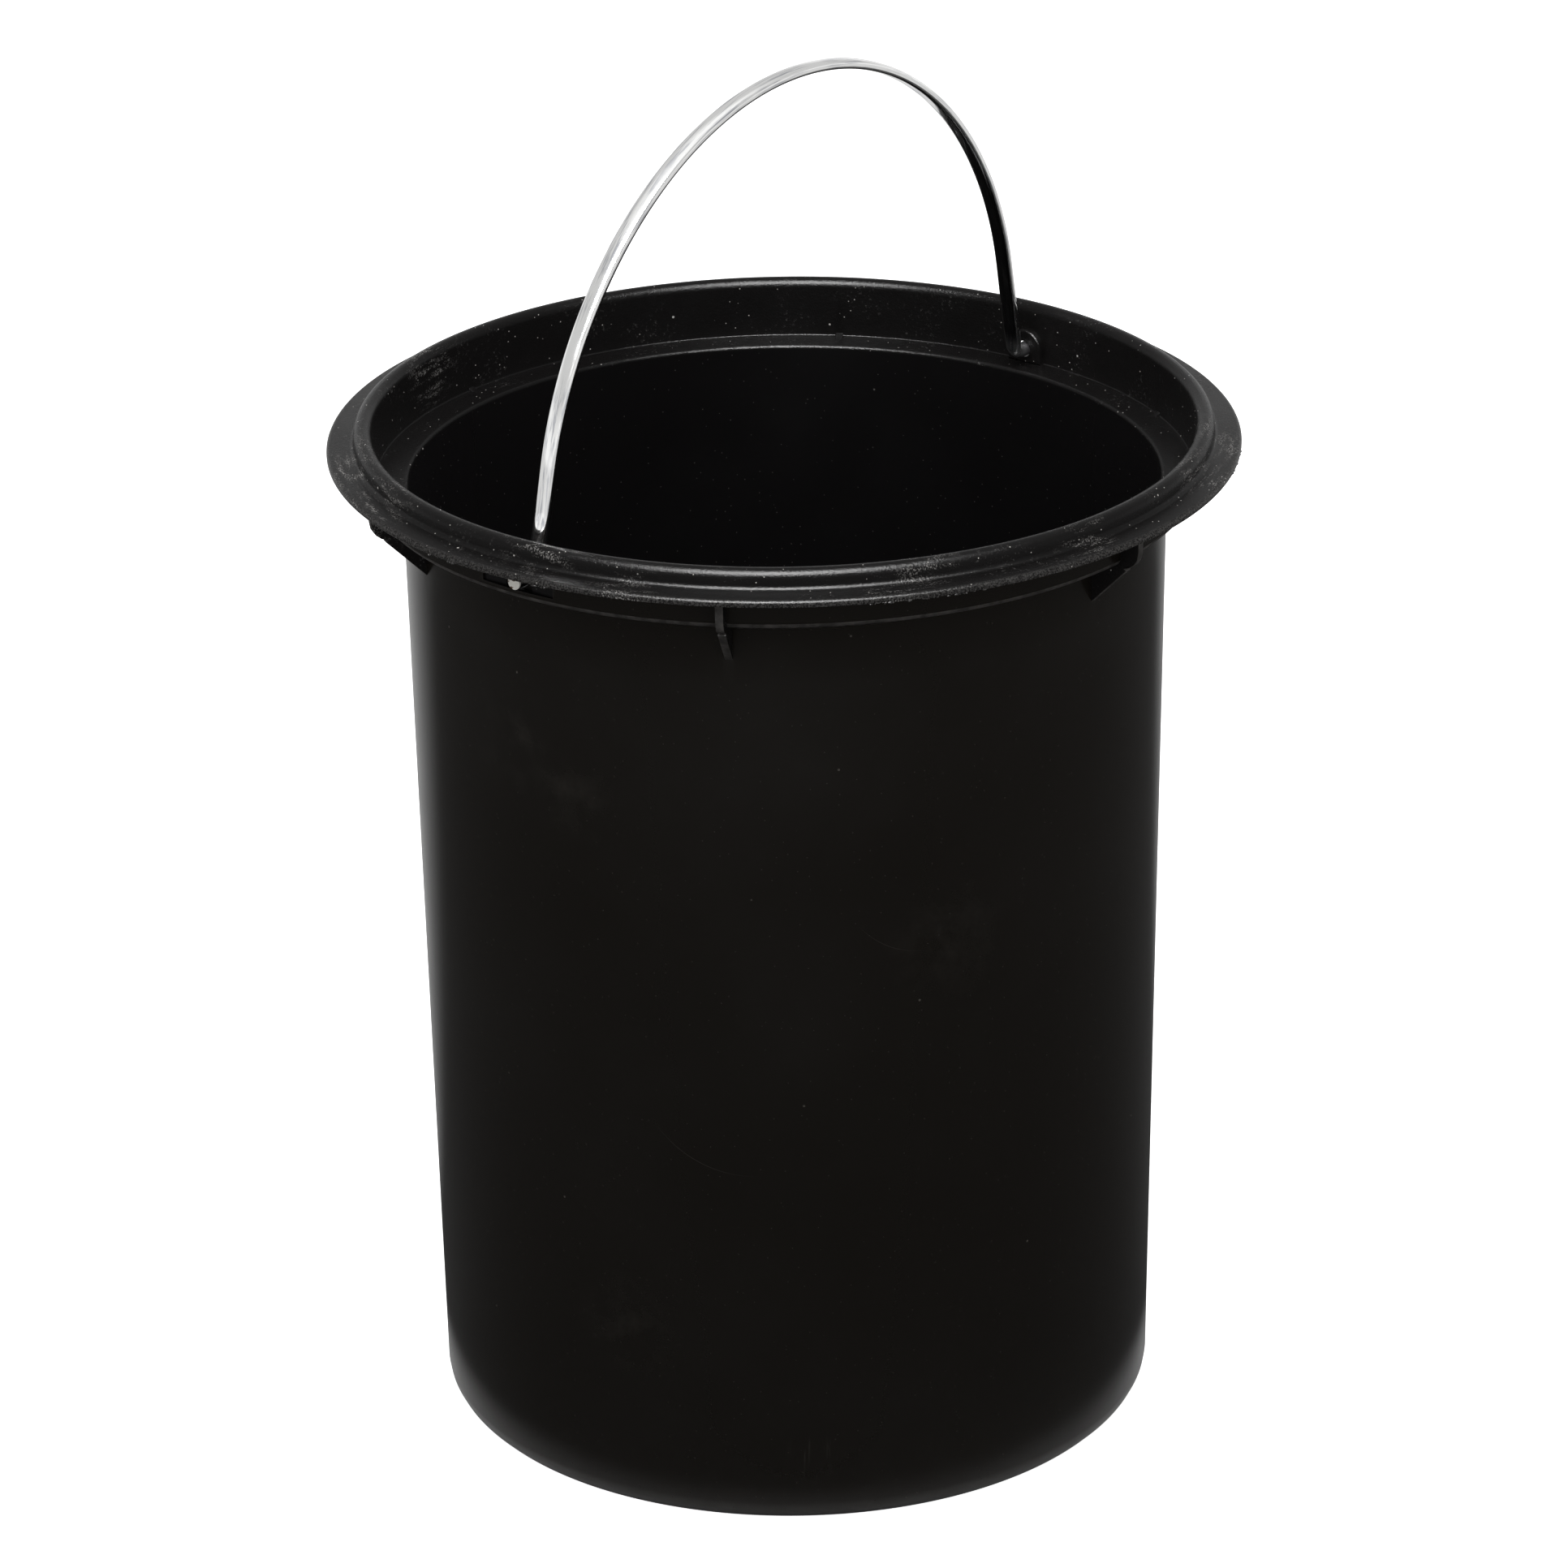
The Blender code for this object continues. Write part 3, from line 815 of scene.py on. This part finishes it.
def makeBail(wireMat, endMat):
    b = bail
    half = bailRoute()
    route = [(-out, up, -heading) for out, up, heading in reversed(half)] + half[1:]
    bm = bmesh.new()
    previous = None
    for out, up, heading in route:
        ring = bmesh.ops.create_circle(bm, segments=b["sides"], radius=b["wire"] * mm)["verts"]
        bmesh.ops.rotate(bm, verts=ring, cent=(0, 0, 0), matrix=Matrix.Rotation(math.pi / 2, 3, "X"))
        pressedRing(ring, up)
        bmesh.ops.rotate(bm, verts=ring, cent=(0, 0, 0), matrix=Matrix.Rotation(heading, 3, "X"))
        bmesh.ops.translate(bm, verts=ring, vec=(0, out * mm, up * mm))
        edges = [e for e in bm.edges if e.verts[0] in ring and e.verts[1] in ring]
        if previous:
            bmesh.ops.bridge_loops(bm, edges=previous + edges)
        previous = edges
    bmesh.ops.holes_fill(bm, edges=[e for e in bm.edges if e.is_boundary], sides=0)
    bmesh.ops.recalc_face_normals(bm, faces=bm.faces)
    bmesh.ops.rotate(bm, verts=bm.verts, cent=(0, 0, 0),
                     matrix=Matrix.Rotation(math.radians(b["lean"]), 3, "Y"))
    bmesh.ops.translate(bm, verts=bm.verts, vec=pivot)
    piece = newPiece("wireBail", bm, [wireMat, endMat], "bail")
    for face in piece.data.polygons:
        face.material_index = 1 if abs(face.center.y) > (b["end"] - 0.5) * mm else 0
    piece.data.shade_smooth()
    piece.data.set_sharp_from_angle(angle=math.radians(b["smoothAngle"]))
    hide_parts("wire_bail")
    print("bail made:", len(piece.data.polygons), "faces")


viewpoint = {
    "turn": 38.4,        # degrees round the bucket from looking along +Y
    "away": 1.9671,
    "height": 1.0208,
    "down": 22.976,
    "aside": 0.042,
    "roll": -0.854,
    "lens": 169.2,
    "sensor": 36,
}


studio = {
    "floorSize": 12.0,
    "paperGlow": 1.0,
    "floorFront": 0.1,       # greys of the floor as the bucket mirrors it
    "floorBehind": 0.95,
    "floorNear": 0.9,
    "floorFar": 0.9,
    "floorAside": 8,         # degrees that the pale part behind is turned from the camera's line
    "behindArc": (0.7, 1.0),
    "nearRing": (0.106, 0.122),
    "farRing": (0.8, 1.0),
    "horizon": 0.95,         # brightness of the sky, from low to high
    "middle": 0.6,
    "zenith": 1.0,
    "lowSky": (0.06, 0.3),
    "highSky": (0.45, 0.9),
    "aimHeight": 0.2,
    "boxes": {
        "keyBox": {"size": 1.7, "radiance": 94.0, "height": 56, "turn": 34, "away": 2.4},
    },
}


def aimedFrom(turn, height, away):
    turn, height = math.radians(turn), math.radians(height)
    flat = math.cos(height) * away
    return Vector((math.sin(turn) * flat, -math.cos(turn) * flat,
                   math.sin(height) * away + studio["aimHeight"]))


def makeWorld():
    world = bpy.data.worlds.new("studioWorld")
    world.use_nodes = True
    tree = world.node_tree
    sky = tree.nodes["Background"]
    coords = addNode(tree, "ShaderNodeTexCoord")
    split = addNode(tree, "ShaderNodeSeparateXYZ")
    tree.links.new(coords.outputs["Generated"], split.inputs[0])
    low = ramp(tree, split.outputs["Z"], *studio["lowSky"], studio["horizon"], studio["middle"])
    high = ramp(tree, split.outputs["Z"], *studio["highSky"], 0.0, studio["zenith"])
    tree.links.new(maths(tree, "MAXIMUM", low, high), sky.inputs["Strength"])
    sky.inputs["Color"].default_value = (1, 1, 1, 1)
    plain = addNode(tree, "ShaderNodeBackground")
    plain.inputs["Color"].default_value = (1, 1, 1, 1)
    seen = addNode(tree, "ShaderNodeLightPath")
    mix = addNode(tree, "ShaderNodeMixShader")
    tree.links.new(seen.outputs["Is Camera Ray"], mix.inputs[0])
    tree.links.new(sky.outputs[0], mix.inputs[1])
    tree.links.new(plain.outputs[0], mix.inputs[2])
    tree.links.new(mix.outputs[0], tree.nodes["World Output"].inputs["Surface"])
    bpy.context.scene.world = world


def softBox(name, size, radiance, height, turn, away):
    light = bpy.data.lights.new(name, "AREA")
    light.shape = "SQUARE"
    light.size = size
    light.energy = radiance * math.pi * size * size
    lamp = bpy.data.objects.new(name, light)
    bpy.context.scene.collection.objects.link(lamp)
    lamp.visible_camera = False
    lamp.visible_diffuse = False
    lamp.location = aimedFrom(turn, height, away)
    aim = Vector((0, 0, studio["aimHeight"])) - lamp.location
    lamp.rotation_euler = aim.to_track_quat("-Z", "Y").to_euler()


def makeStudio(floorMat):
    bm = bmesh.new()
    bmesh.ops.create_grid(bm, x_segments=1, y_segments=1, size=studio["floorSize"])
    mesh = bpy.data.meshes.new("floor")
    bm.to_mesh(mesh)
    bm.free()
    mesh.materials.append(floorMat)
    floor = bpy.data.objects.new("floor", mesh)
    bpy.context.scene.collection.objects.link(floor)
    makeWorld()
    for name, box in studio["boxes"].items():
        softBox(name, **box)
    bpy.context.scene.view_settings.view_transform = "Standard"
    print("studio made")


def makeCamera():
    v = viewpoint
    turn = math.radians(v["turn"])
    place = Matrix.Translation((v["away"] * math.sin(turn), -v["away"] * math.cos(turn), v["height"]))
    aim = Matrix.Rotation(turn + math.radians(v["aside"]), 4, "Z")
    aim = aim @ Matrix.Rotation(math.radians(90 - v["down"]), 4, "X")
    aim = aim @ Matrix.Rotation(math.radians(v["roll"]), 4, "Z")
    data = bpy.data.cameras.new("camera")
    data.lens = v["lens"]
    data.sensor_width = v["sensor"]
    camera = bpy.data.objects.new("camera", data)
    bpy.context.scene.collection.objects.link(camera)
    camera.matrix_world = place @ aim
    bpy.context.scene.camera = camera


makeCamera()
makeStudio(floorPaint())
rimMat = rimPlastic()
wallMat = wallPlastic("wallPlastic", wallLook)
edgeSheenMat = edgeSheenPlastic()
insideMat = wallPlastic("insidePlastic", insideLook)
makeBucket([wallMat, rimMat, edgeSheenMat, insideMat])
makeFlash(rimMat)
makeBail(brightWire(), cutWire())
